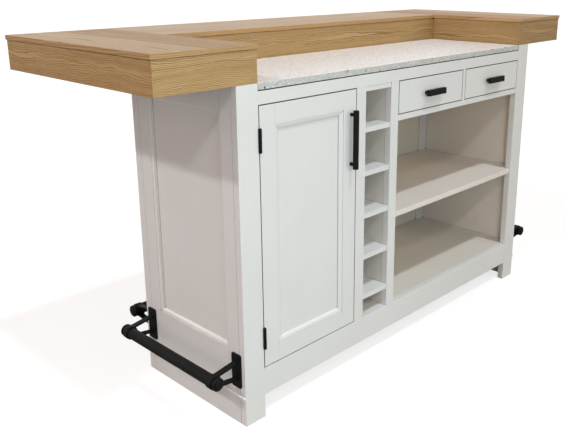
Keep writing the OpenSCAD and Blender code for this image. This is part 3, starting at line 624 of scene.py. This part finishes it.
def paint(name, colour, pooled, roughness, peel, turned=()):
    """One coat. turned lists directions, each with a tone painted on the faces that look that way: a painted
    highlight where brighter, painted shade where darker.
    """
    material, tree, shader = new_material(name)
    film = place_group(tree, coat_film)
    base = blend_colour(tree, times(tree, film["Pooling"], 0.6), colour, pooled)
    # painted light and shade: faces that look a given way take a brighter or darker tone
    for direction, tone in turned:
        base = blend_colour(tree, remap(tree, facing(tree, direction), 0.4, 0.7), base, tone)
    base = blend_colour(tree, remap(tree, film["Lines"], 0.45, 0.75, 0.0, 0.18), base, pooled)
    # painted shade: the crevice masks darken corners and gaps where shade falls
    painted_shade = place_group(tree, crevice_shade, Reach=0.008)
    base = blend_colour(tree, times(tree, painted_shade["Corners"], 0.45), base, CORNER_SHADE)
    base = blend_colour(tree, times(tree, painted_shade["Gaps"], 0.95), base, GAP_SHADE)
    feed(tree, shader.inputs["Base Color"], base)
    matt = remap(tree, film["Pooling"], 0.0, 1.0, roughness, roughness + 0.08)
    feed(tree, shader.inputs["Roughness"], matt)
    skin = plus(tree, times(tree, film["Lines"], 0.6), times(tree, film["Peel"], 0.4))
    feed(tree, shader.inputs["Normal"], relief(tree, skin, peel, 0.0003))
    return material


print("paint recipe: coat, turned faces, wood lines, dust")

# %% [markdown]
# Outside the paint is cool, and inside it is flatter and creamier: the cream is
# painted shade, the warm dim light inside the bays. The right side board and the back
# board close the cabinet, so they wear the cool tone outside and the painted cream
# shade on the face that looks into the shelves. The bevels of the mouldings that look
# up take a painted highlight, and some of the others a painted shade.

# %% Paints of the cabinet
LEFT, FRONT, UP, DOWN = (-1.0, 0.0, 0.0), (0.0, -1.0, 0.0), (0.0, 0.0, 1.0), (0.0, 0.0, -1.0)
OUTER = (screen(230, 231, 230), screen(222, 223, 221), 0.42, 0.10)

outer_paint = paint("off_white_paint", *OUTER)
# the creamier tones of inner_paint and shelf_paint are painted shade, the warm dim light of the bays
inner_paint = paint("inner_paint", screen(224, 218, 208), screen(215, 208, 197), 0.55, 0.12)
shelf_paint = paint("shelf_paint", screen(234, 229, 223), screen(226, 220, 213), 0.50, 0.10)
# end and back boards: the cream on the faces that look into the shelves is painted shade
end_board_paint = paint("end_board_paint", *OUTER, turned=[(LEFT, screen(226, 217, 207))])
back_board_paint = paint("back_board_paint", *OUTER, turned=[(FRONT, screen(230, 226, 214))])
# moulding tones: faces that look UP take a painted highlight; FRONT, DOWN and LEFT a painted shade
moulding_paint = paint("moulding_paint", *OUTER,
                       turned=[(FRONT, screen(212, 205, 200)), (UP, screen(252, 250, 248))])
door_moulding_paint = paint("door_moulding_paint", *OUTER,
                            turned=[(UP, screen(250, 252, 250)), (DOWN, screen(208, 208, 204)),
                                    (LEFT, screen(204, 205, 202))])
catch_white = paint("catch_moulding", screen(214, 214, 210), screen(206, 206, 202), 0.38, 0.08)
print("paints:", sum("paint" in material.name for material in bpy.data.materials))

# %% [markdown]
# ## Terrazzo
# The worktop is a honed slab of pale stone chips in a cream binder. A photo of a
# slab could be laid on it, but would repeat and blur. Voronoi cells are the shapes
# that chips make when they are poured close together. Only some cells become chips,
# picked by a random number that each cell has, and a second one gives its tone.

# %% Terrazzo: chips in the binder
def chips(tree, spot, scale, share):
    """A mask of the cells that hold a chip, and a random tone for each cell."""
    cells = add_node(tree, "ShaderNodeTexVoronoi", feature="F1")
    feed(tree, cells.inputs["Vector"], spot)
    feed(tree, cells.inputs["Scale"], scale)
    chance = add_node(tree, "ShaderNodeSeparateColor")
    feed(tree, chance.inputs[0], cells.outputs["Color"])
    chosen = calc(tree, "LESS_THAN", chance.outputs[0], share)
    body = remap(tree, cells.outputs["Distance"], 0.30, 0.42, 1.0, 0.0)
    return times(tree, chosen, body), chance.outputs[1]


def strew(tree, base, found, strength, first, second):
    """Lays the chips that were found over the base, each in a tone between two."""
    mask, tone = found
    kind = blend_colour(tree, tone, screen(*first), screen(*second))
    return blend_colour(tree, times(tree, mask, strength), base, kind)


print("helpers for terrazzo: chips, strew")

# %% [markdown]
# Four kinds of chip are laid over each other: large pale ones, small ones, a few
# warm brown ones and a few nearly black ones. The dark ones show best along the
# sawn front edge, where the slab is greyer, and are faint on the honed top. In
# places the small chips crowd together, and the top takes a warmer tone there.

# %% Material: terrazzo
def terrazzo():
    material, tree, shader = new_material("terrazzo")
    spot = add_node(tree, "ShaderNodeTexCoord").outputs["Object"]
    top = remap(tree, facing(tree, UP), 0.4, 0.6)
    cloudy = clouds(tree, spot, 9.0, 5.0, 0.7)
    binder = blend_colour(tree, cloudy, screen(253, 253, 251), screen(248, 247, 245))
    base = blend_colour(tree, top, screen(194, 197, 192), binder)
    pale, pale_share = chips(tree, spot, 120.0, 0.38), remap(tree, top, 0.0, 1.0, 0.45, 0.85)
    base = strew(tree, base, pale, pale_share, (254, 253, 251), (214, 206, 198))
    small = chips(tree, spot, 240.0, 0.50)
    base = strew(tree, base, small, 0.85, (255, 254, 252), (182, 169, 158))
    warm = chips(tree, spot, 130.0, 0.095)
    base = strew(tree, base, warm, 0.75, (178, 152, 134), (146, 134, 126))
    dark, dark_share = chips(tree, spot, 115.0, 0.050)[0], remap(tree, top, 0.0, 1.0, 0.95, 0.25)
    base = blend_colour(tree, times(tree, dark, dark_share), base, screen(48, 46, 43))
    crowded = remap(tree, clouds(tree, spot, 55.0, 3.0, 0.6), 0.44, 0.62, 0.0, 0.40)
    base = blend_colour(tree, times(tree, crowded, top), base, screen(231, 218, 209))
    feed(tree, shader.inputs["Base Color"], base)
    feed(tree, shader.inputs["Roughness"], remap(tree, small[0], 0.0, 1.0, 0.34, 0.26))
    feed(tree, shader.inputs["Normal"], relief(tree, clouds(tree, spot, 700.0, 2.0), 0.04, 0.0002))
    return material


stone = terrazzo()
print("terrazzo:", len(stone.node_tree.nodes), "nodes")

# %% [markdown]
# ## Black coated steel
# Rails, brackets, hinges and pulls have a matt black coat with a fine sandy skin.
# Its edges are rubbed a little greyer. Pure black would swallow every form, so the
# coat stays just above it, and a low specular level keeps it matt where the lamps
# graze the tubes.

# %% Material: black coating
def black_coat(name, colour, worn, roughness, grit):
    material, tree, shader = new_material(name)
    film = place_group(tree, coat_film, Pooling_Size=14.0, Peel_Size=1600.0)
    rub = place_group(tree, rubbed_edges, Reach=0.0014, Patchiness=40.0)
    base = blend_colour(tree, times(tree, film["Pooling"], 0.5), screen(*colour), screen(17, 17, 17))
    base = blend_colour(tree, times(tree, rub["Mask"], 0.5), base, screen(*worn))
    feed(tree, shader.inputs["Base Color"], base)
    matt = remap(tree, film["Pooling"], 0.0, 1.0, roughness, roughness + 0.12)
    feed(tree, shader.inputs["Roughness"], matt)
    shader.inputs["Specular IOR Level"].default_value = 0.14
    feed(tree, shader.inputs["Normal"], relief(tree, film["Peel"], grit, 0.0002))
    return material


rail_black = black_coat("black_rail_coating", (10, 10, 10), (34, 33, 32), 0.48, 0.30)
pull_black = black_coat("black_pull_coating", (9, 9, 9), (30, 30, 29), 0.42, 0.15)
print("black coatings:", rail_black.name, "and", pull_black.name)

# %% [markdown]
# ## Bright steel
# The strike plate and the screws that hold the pulls are plain zinc-bright steel
# with a fine drawn grain. Metal has no colour of its own to paint: it tints what it
# mirrors, so Metallic is set to one and the grain goes into the roughness too.

# %% Material: bright steel
def bright_steel():
    material, tree, shader = new_material("bright_steel")
    film = place_group(tree, coat_film, Pooling_Size=40.0, Line_Size=900.0)
    drawn = blend_colour(tree, film["Lines"], screen(196, 197, 200), screen(160, 161, 165))
    feed(tree, shader.inputs["Base Color"], drawn)
    shader.inputs["Metallic"].default_value = 1.0
    feed(tree, shader.inputs["Roughness"], remap(tree, film["Lines"], 0.0, 1.0, 0.28, 0.42))
    feed(tree, shader.inputs["Normal"], relief(tree, film["Lines"], 0.15, 0.0001))
    return material


steel = bright_steel()
print("materials:", len(bpy.data.materials), "on", len(bpy.data.node_groups), "node groups")

# %% [markdown]
# ## Who wears what
# A node keeps its shape and takes a new coat in its material slot. The list runs by
# finish, so that nothing is forgotten: what is named nowhere is outer paint.

# %% Dress the nodes
FINISHES = {
    oak_left: ["bar_top_left"],
    oak_right: ["bar_top_right"],
    oak_long: ["bar_top_back"],
    oak_edge_left: ["apron_left"],
    oak_edge_back: ["apron_back"],
    oak_edge_right: ["apron_right"],
    stone: ["worktop"],
    back_board_paint: ["back_board"],
    inner_paint: ["floor_board", "door_partition", "bay_partition", "cubby_liner"],
    shelf_paint: ["open_shelf", "cupboard_shelf"],
    end_board_paint: ["side_board_right"],
    moulding_paint: ["panel_mouldings", "base_beads"],
    door_moulding_paint: ["door_moulding"],
    softwood: ["cupboard_cleats", "drawer_deck", "drawer_guides", "top_stretchers", "bar_bearers",
               "drawer_left_box", "drawer_left_bottom", "drawer_right_box", "drawer_right_bottom"],
    rail_black: ["foot_rail_left", "foot_rail_back", "foot_rail_right", "side_rail_brackets",
                 "back_rail_brackets", "rail_end_caps"],
    pull_black: ["hinge_post_leaves", "hinge_pins", "hinge_door_leaves", "door_pull",
                 "drawer_left_pull", "drawer_right_pull"],
    steel: ["door_strike"],
    catch_white: ["door_catch"],
}
finish_of = {name: material for material, names in FINISHES.items() for name in names}
for name, node in nodes.items():
    for material_slot in node.material_slots:
        material_slot.material = finish_of.get(name, outer_paint)
print("dressed", len(nodes), "nodes,", len(nodes) - len(finish_of), "of them in outer paint")

# %% [markdown]
# ## Sanded edges
# No real board has a knife edge, and a bright line along an edge is what tells the
# eye that two faces meet. Rounding could be drawn in each solid, at the price of
# many more faces there. A modifier does it here: a Weld first, because the faces of
# a node arrive unjoined, then a Bevel as wide as that piece's maker would sand it.
# Round things are left alone, and so is the panel, whose edges lie in a groove.

# %% Soften the edges
USUAL_EDGE = 0.0005
EDGE_WIDTHS = {
    "bar_top_left": 0.0015, "bar_top_back": 0.0015, "bar_top_right": 0.0015, "worktop": 0.0012,
    "apron_left": 0.0006, "apron_back": 0.0006, "apron_right": 0.0006,
    "panel_mouldings": 0.0004, "door_moulding": 0.0004, "base_beads": 0.0008,
    "hinge_post_leaves": 0.0003, "hinge_door_leaves": 0.0003, "door_pull": 0.0010,
    "drawer_left_pull": 0.0010, "drawer_right_pull": 0.0010, "door_strike": 0.0003,
    "side_rail_brackets": 0.0006, "back_rail_brackets": 0.0006,
    "open_shelf": 0.0016, "cubby_shelves": 0.0010, "bottom_rail": 0.0010,
}
NO_BEVEL = {"hinge_pins", "foot_rail_left", "foot_rail_back", "foot_rail_right",
            "rail_end_caps", "door_panel"}


def soften(node, width):
    node.modifiers.new("join_faces", "WELD").merge_threshold = 0.00001
    bevel = node.modifiers.new("sanded_edge", "BEVEL")
    bevel.width = width
    bevel.segments = 2
    bevel.limit_method = "ANGLE"
    bevel.angle_limit = math.radians(28)


for name, node in nodes.items():
    if name not in NO_BEVEL:
        soften(node, EDGE_WIDTHS.get(name, USUAL_EDGE))
print("softened", len(nodes) - len(NO_BEVEL), "nodes,", len(EDGE_WIDTHS), "with a width of their own")

# %% [markdown]
# ## Screws
# Countersunk screws hold the bracket plates and hinges, and round-headed ones come
# through the door and drawer fronts into the pulls. One shape serves them all: a
# shallow dome with a cross cut into it. The cross could be drawn into the material,
# but would vanish at a glancing view, so it is modelled. It has four equal arms,
# and the three points of one arm, turned four times, make the whole outline.

# %% The cross of a screw
def quarter_turned(x, y, quarters):
    for _ in range(quarters):
        x, y = -y, x
    return x, y


def cross_outline(arm, half_slot):
    """Twelve points round a cross, from the corner between two arms."""
    one_arm = ((half_slot, half_slot), (half_slot, arm), (-half_slot, arm))
    return [quarter_turned(x, y, quarters) for quarters in range(4) for x, y in one_arm]


print("points round the cross:", len(cross_outline(1.0, 0.2)))

# %% [markdown]
# The dome is three rings of points, each smaller and higher than the last. The
# cross sinks from its rim to a floor, and Bridge Edge Loops fills the face between
# the last ring and the cross, which would be tedious to list by hand.

# %% One screw head
DOME_RINGS = ((1.0, 0.0), (0.97, 0.45), (0.80, 0.85))  # shares of the radius and of the height
DOME_SIDES = 24
CROSS_ARM, CROSS_SLOT, CROSS_FLOOR = 0.62, 0.13, (0.8, 0.15)


def ring_of_points(bm, radius, z):
    turns = [math.tau * i / DOME_SIDES for i in range(DOME_SIDES)]
    return [bm.verts.new((radius * math.cos(turn), radius * math.sin(turn), z)) for turn in turns]


def neighbours(points):
    """Each point with the next one, round to the first."""
    return [(points[i], points[(i + 1) % len(points)]) for i in range(len(points))]


def screw_head(name, radius, height, finish):
    """A head that faces +z and whose seat is at z = 0, with a cross recess."""
    bm = bmesh.new()
    rings = [ring_of_points(bm, radius * share, height * rise) for share, rise in DOME_RINGS]
    for low, high in zip(rings, rings[1:]):
        for (a, b), (c, d) in zip(neighbours(low), neighbours(high)):
            bm.faces.new((a, b, d, c))
    cross = cross_outline(radius * CROSS_ARM, radius * CROSS_SLOT)
    shrink, sink = CROSS_FLOOR
    rim = [bm.verts.new((x, y, height)) for x, y in cross]
    floor = [bm.verts.new((x * shrink, y * shrink, height * sink)) for x, y in cross]
    for (a, b), (c, d) in zip(neighbours(rim), neighbours(floor)):
        bm.faces.new((b, a, c, d))
    bm.faces.new(floor)
    loops = neighbours(rings[-1]) + neighbours(rim)
    bmesh.ops.bridge_loops(bm, edges=[bm.edges.get(pair) for pair in loops])
    bm.faces.new(list(reversed(rings[0])))
    bmesh.ops.recalc_face_normals(bm, faces=bm.faces)
    mesh = bpy.data.meshes.new(name)
    bm.to_mesh(mesh)
    bm.free()
    mesh.materials.append(finish)
    return mesh


plate_screw = screw_head("plate_screw_head", 0.0038, 0.0012, rail_black)
hinge_screw = screw_head("hinge_screw_head", 0.0028, 0.0003, pull_black)
pull_screw = screw_head("pull_screw_head", 0.0040, 0.0022, steel)
print("faces of one screw head:", len(plate_screw.polygons))

# %% [markdown]
# Screws of one kind on one body become one piece, so that they ride with it when it
# moves. Nobody drives every screw to the same angle, so each copy is turned by a
# step that never comes round evenly, which needs no random numbers.

# %% Drive the screws
FIRST_TURN, NEXT_TURN = 0.7, 1.9


def drive_screws(name, mesh, spots, looks_to, body):
    """Joins copies of one screw head, with their seats at the spots, into one piece."""
    bm = bmesh.new()
    aim = Vector(looks_to).to_track_quat("Z", "Y").to_matrix().to_4x4()
    for i, spot in enumerate(spots):
        spin = Matrix.Rotation(FIRST_TURN + NEXT_TURN * i, 4, "Z")
        copy = mesh.copy()
        copy.transform(Matrix.Translation(spot) @ aim @ spin)
        bm.from_mesh(copy)
        bpy.data.meshes.remove(copy)
    whole = bpy.data.meshes.new(name)
    bm.to_mesh(whole)
    bm.free()
    whole.materials.append(mesh.materials[0])
    piece = bpy.data.objects.new(name, whole)
    bpy.context.scene.collection.objects.link(piece)
    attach(piece, body)
    print(name + ":", len(spots), "screws on the", body)


print("each screw turns", round(math.degrees(NEXT_TURN)), "degrees on from the one before")

# %% [markdown]
# Each bracket plate has four screws, one on either side of each arm. The plate
# stands off the wall by its own thickness, so that is where the heads sit.

# %% Screws in the bracket plates
PLATE_T = 5.0  # these are the shop drawing's, in millimetres
RAIL_Z = 168.0
ARM_FROM_RAIL, SCREW_FROM_ARM = 26.5, 14.0
SIDE_INSET, BACK_INSET = 33.0, 22.0
SIDE_BRACKETS = (SIDE_INSET, CABINET_D - SIDE_INSET)
BACK_BRACKETS = (BACK_INSET, CABINET_W / 2, CABINET_W - BACK_INSET)
four = [(beside * SCREW_FROM_ARM, up * ARM_FROM_RAIL) for beside in (-1, 1) for up in (-1, 1)]
for side, wall, way in (("left", -PLATE_T, -1), ("right", CABINET_W + PLATE_T, 1)):
    spots = [at(wall, y + dy, RAIL_Z + dz) for y in SIDE_BRACKETS for dy, dz in four]
    drive_screws(f"{side}_plate_screws", plate_screw, spots, (way, 0, 0), "cabinet")
spots = [at(x + dx, CABINET_D + PLATE_T, RAIL_Z + dz) for x in BACK_BRACKETS for dx, dz in four]
drive_screws("back_plate_screws", plate_screw, spots, (0, 1, 0), "cabinet")

# %% [markdown]
# The hinge leaves lie in the gap between door and post. Their screws show only when
# the door stands open, three to a leaf, with the middle one set further in.

# %% Screws in the hinges
POST_W, DOOR_GAP = 72.0, 3.0  # these are the shop drawing's, in millimetres
OPENINGS_BOTTOM, OPENINGS_TOP = 156.0, 912.0
HINGE_INSET = 91.0
HINGES = (OPENINGS_BOTTOM + DOOR_GAP + HINGE_INSET, OPENINGS_TOP - DOOR_GAP - HINGE_INSET)
LEAF_SCREWS = ((6.0, -22.0), (12.5, 0.0), (6.0, 22.0))  # how far in, and how far up the leaf
for name, x, way, body in (("post_leaf_screws", POST_W, 1, "cabinet"),
                           ("door_leaf_screws", POST_W + DOOR_GAP, -1, "door")):
    spots = [at(x, y, z + dz) for z in HINGES for y, dz in LEAF_SCREWS]
    drive_screws(name, hinge_screw, spots, (way, 0, 0), body)

# %% [markdown]
# The pulls are held from behind, by two screws each in line with their legs. The
# door's sit on its inner face, and a drawer's on the inner front of its box. The
# door's pull keeps its distance from the edges of the door, and each drawer's is in
# the middle of its opening.

# %% Screws behind the pulls
FRONT_T, DRAWER_BOX_T = 22.0, 12.0  # these are the shop drawing's, in millimetres
DOOR_OPENING_W, DOOR_STILE_W, CUBBY_W, BAY_STILE_W, DIVIDER_W = 388.0, 42.0, 122.0, 38.0, 16.0
DRAWER_OPENING_H = 109.0
PULL_L, PULL_FROM_SIDE, PULL_FROM_TOP = 178.0, 23.0, 58.0
DOOR_LEGS, DRAWER_LEGS = (-75.0, 75.0), (-37.5, 37.5)  # from the middle of a pull
bays_from = POST_W + DOOR_OPENING_W + DOOR_STILE_W + CUBBY_W + BAY_STILE_W
bays_to = CABINET_W - POST_W
drawer_opening_w = (bays_to - bays_from - DIVIDER_W) / 2
drawer_middles = {"left": bays_from + drawer_opening_w / 2, "right": bays_to - drawer_opening_w / 2}
drawer_pull_z = OPENINGS_TOP - DRAWER_OPENING_H / 2
door_pull_x = POST_W + DOOR_OPENING_W - DOOR_GAP - PULL_FROM_SIDE
door_pull_z = OPENINGS_TOP - DOOR_GAP - PULL_FROM_TOP - PULL_L / 2
spots = [at(door_pull_x, FRONT_T, door_pull_z + dz) for dz in DOOR_LEGS]
drive_screws("door_pull_screws", pull_screw, spots, (0, 1, 0), "door")
for side, x in drawer_middles.items():
    spots = [at(x + dx, FRONT_T + DRAWER_BOX_T, drawer_pull_z) for dx in DRAWER_LEGS]
    drive_screws(f"drawer_{side}_pull_screws", pull_screw, spots, (0, 1, 0), f"drawer_{side}")

# %% [markdown]
# ## The studio
# The part stands in a bright room with lamps from several sides. One big soft light
# would be simpler, but would lose the slanting shadows on the shelves and the shade
# under the bar that show how deep things are. So three narrow lamps draw those
# shadows, and three wide ones, the glows, fill the sides. The glow at the back would
# leave a glare on the oiled wood, so the mirror-like part of its light is put out.

# %% Lamps from afar
LAMPS = {  # where the light comes from, its strength, its width in degrees, its colour
    "left_lamp": ((-1.0, 0.0, 1.05), 0.260, 3.0, (1.0, 0.97, 0.95)),
    "corner_lamp": ((-1.0, -0.9, 1.0), 0.120, 4.0, (1.0, 1.0, 1.0)),
    "ceiling_lamp": ((0.0, -0.42, 1.0), 0.390, 4.0, (0.86, 0.94, 1.0)),
    "front_glow": ((0.5, -1.0, 0.30), 0.225, 24.0, (1.0, 0.95, 0.74)),
    "side_glow": ((-1.0, 0.10, 0.15), 0.270, 60.0, (1.0, 0.79, 0.70)),
    "back_glow": ((0.6, 1.0, 0.10), 0.320, 50.0, (1.0, 0.98, 0.95)),
}


def new_lamp(name, kind, colour, comes_from):
    data = bpy.data.lights.new(name, kind)
    data.color = colour
    lamp = bpy.data.objects.new(name, data)
    lamp.rotation_euler = comes_from.to_track_quat("Z", "Y").to_euler()
    bpy.context.scene.collection.objects.link(lamp)
    return lamp


for name, (comes_from, strength, width, colour) in LAMPS.items():
    lamp = new_lamp(name, "SUN", colour, Vector(comes_from))
    lamp.data.energy = strength * math.pi
    lamp.data.angle = math.radians(width)
bpy.data.objects["back_glow"].visible_glossy = False
print("lamps from afar:", len(LAMPS))

# %% [markdown]
# A cool window stands near the left front corner. A lamp from afar is as strong at
# the floor as at the bar, while a near one fades with distance. That is what makes
# the left post and the door bluer and brighter than the drawers further right.

# %% Window
WINDOW_AT, WINDOW_AIM = Vector((-0.95, -1.85, 1.15)), Vector((-0.70, -0.35, 0.6))
WINDOW_W, WINDOW_WATTS = 0.8, 10.4
window = new_lamp("window_panel", "AREA", (0.76, 0.93, 1.0), WINDOW_AT - WINDOW_AIM)
window.location = WINDOW_AT
window.data.size = WINDOW_W
window.data.energy = WINDOW_WATTS
print("the window stands", round((WINDOW_AT - WINDOW_AIM).length, 2), "m from what it lights")

# %% [markdown]
# ## The world around
# The photo is cut out on white. A white world would do for that, and would also
# flood the part with light from below and behind. So the camera, and what mirrors
# or lets light through, see white, while all other light comes from a dim warm room.

# %% World
WHITE = (1.0, 1.0, 1.0, 1.0)
ROOM_COLOUR, ROOM_STRENGTH = (1.0, 0.66, 0.62, 1.0), 0.14


def background(tree, colour, strength):
    node = add_node(tree, "ShaderNodeBackground")
    node.inputs["Color"].default_value = colour
    node.inputs["Strength"].default_value = strength
    return node.outputs[0]


world = bpy.data.worlds.new("showroom")
bpy.context.scene.world = world
world.use_nodes = True
sky = world.node_tree
sky.nodes.clear()
ray = add_node(sky, "ShaderNodeLightPath").outputs
seen = calc(sky, "MAXIMUM", ray["Is Camera Ray"], ray["Is Glossy Ray"])
seen = calc(sky, "MAXIMUM", seen, ray["Is Transmission Ray"])
either = add_node(sky, "ShaderNodeMixShader")
feed(sky, either.inputs[0], seen)
feed(sky, either.inputs[1], background(sky, ROOM_COLOUR, ROOM_STRENGTH))
feed(sky, either.inputs[2], background(sky, WHITE, 1.0))
feed(sky, add_node(sky, "ShaderNodeOutputWorld").inputs[0], either.outputs[0])
print("room light:", ROOM_STRENGTH, "of the white that the camera sees")

# %% [markdown]
# ## The floor
# A pale floor carries the part's shadow. Lit by these lamps alone it would end in a
# grey horizon, so it also glows a little, but only for the camera: the shadow stays,
# the rest runs into the white, and the glow itself lights nothing.

# %% Floor
FLOOR_HALF = 60.0
FLOOR_COLOUR = (0.40, 0.39, 0.38, 1.0)
FLOOR_GLOW = 0.74


def studio_floor():
    mesh = bpy.data.meshes.new("studio_floor")
    corners = [(x * FLOOR_HALF, y * FLOOR_HALF, 0) for x, y in ((-1, -1), (1, -1), (1, 1), (-1, 1))]
    mesh.from_pydata(corners, [], [(0, 1, 2, 3)])
    floor = bpy.data.objects.new("studio_floor", mesh)
    bpy.context.scene.collection.objects.link(floor)
    material, tree, shader = new_material("pale_floor")
    shader.inputs["Base Color"].default_value = FLOOR_COLOUR
    shader.inputs["Roughness"].default_value = 0.9
    shader.inputs["Specular IOR Level"].default_value = 0.0
    shader.inputs["Emission Color"].default_value = WHITE
    camera_ray = add_node(tree, "ShaderNodeLightPath").outputs["Is Camera Ray"]
    feed(tree, shader.inputs["Emission Strength"], times(tree, camera_ray, FLOOR_GLOW))
    mesh.materials.append(material)


studio_floor()
bpy.context.scene.view_settings.view_transform = "Standard"
print("floor:", 2 * FLOOR_HALF, "m square")
